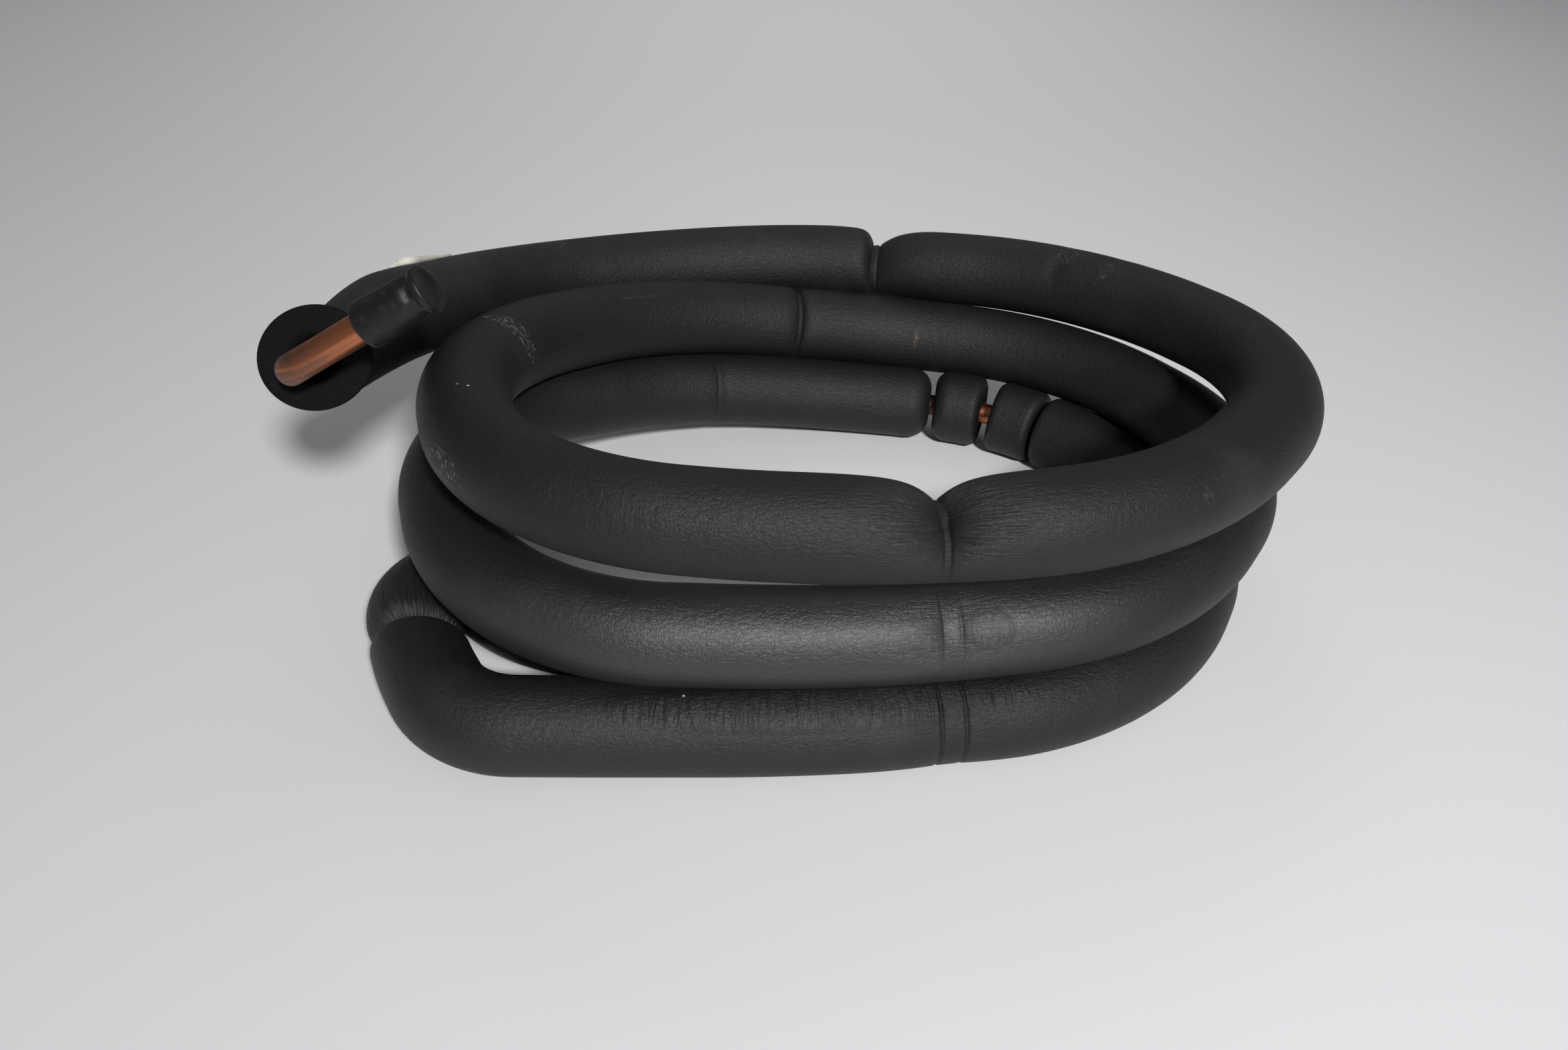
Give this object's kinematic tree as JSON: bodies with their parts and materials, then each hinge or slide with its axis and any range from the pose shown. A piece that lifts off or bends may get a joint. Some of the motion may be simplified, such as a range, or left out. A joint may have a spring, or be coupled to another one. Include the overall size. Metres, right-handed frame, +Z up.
{
  "type": "copper tube coil",
  "caption": "Foam-insulated copper tube in a loose oval coil with a capped, bent end and an open end tucked under the turns, kept as stock for pipe runs.",
  "frame": {"origin": "on the floor, under the middle of the coil's box", "axes": "+Z up, +X along the long way of the oval turns, +Y to the rear, away from the front passes"},
  "size_m": [0.3876, 0.3195, 0.1684],
  "materials": {
    "copper": "drawn copper, dulled and brown towards the bend",
    "foam": "black closed-cell foam with a matte, finely wrinkled skin",
    "cap": "soft black plastic",
    "tape": "cream paper tape"
  },
  "bodies": {
    "root": {"copper_tube": "copper", "end_cap": "cap", "sleeve_upper": "foam", "sleeve_short_1": "foam", "sleeve_short_2": "foam", "sleeve_lower": "foam", "sleeve_tail": "foam", "seam_tape": "tape"}
  },
  "joints": []
}
